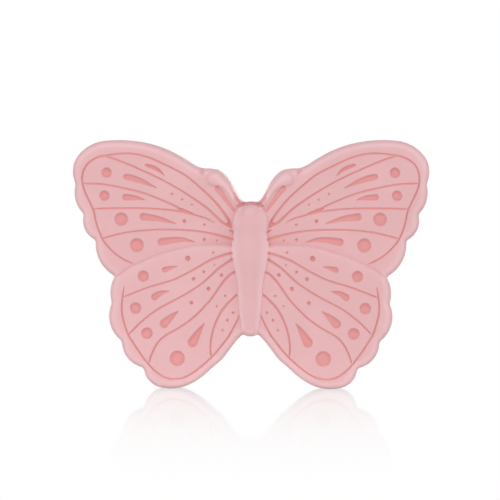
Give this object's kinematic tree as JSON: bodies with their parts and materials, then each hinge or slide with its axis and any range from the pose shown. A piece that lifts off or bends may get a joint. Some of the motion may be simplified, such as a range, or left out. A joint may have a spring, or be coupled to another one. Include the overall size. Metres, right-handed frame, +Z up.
{
  "type": "pacifier clip",
  "caption": "Pacifier clip: engraved silicone butterfly face over a rigid frame with a hinged cam lever, soft jaw grips and a cord eye.",
  "frame": {"origin": "middle of the bounding box in X and Y, at the height of the lower wing tips that it stands on", "axes": "+X to the right seen from the front, along the wingspan; -Y is the butterfly's front and +Y the clip's back; +Z up"},
  "size_m": [0.066, 0.0164, 0.0461],
  "materials": {
    "pink_silicone": "soft matte silicone, engraved parts a deeper coral pink",
    "pink_plastic": "matte moulded polypropylene",
    "white_plastic": "matte moulded polypropylene",
    "soft_grip": "milky soft elastomer",
    "steel": "plain stainless"
  },
  "bodies": {
    "clip_body": {"butterfly_face": "pink_silicone", "core_plate": "white_plastic", "clip_frame": "pink_plastic", "frame_grip_pad": "soft_grip", "hinge_pin": "steel", "frame_screw_left": "steel", "frame_screw_right": "steel"},
    "lever_arm": {"lever": "pink_plastic", "lever_grip_teeth": "soft_grip"}
  },
  "joints": [
    {"name": "lever_hinge", "type": "hinge", "parent": "clip_body", "child": "lever_arm", "pos_m": [0, 0.0059, 0.0276], "axis": [1, 0, 0], "range_deg": [0, 100]}
  ]
}
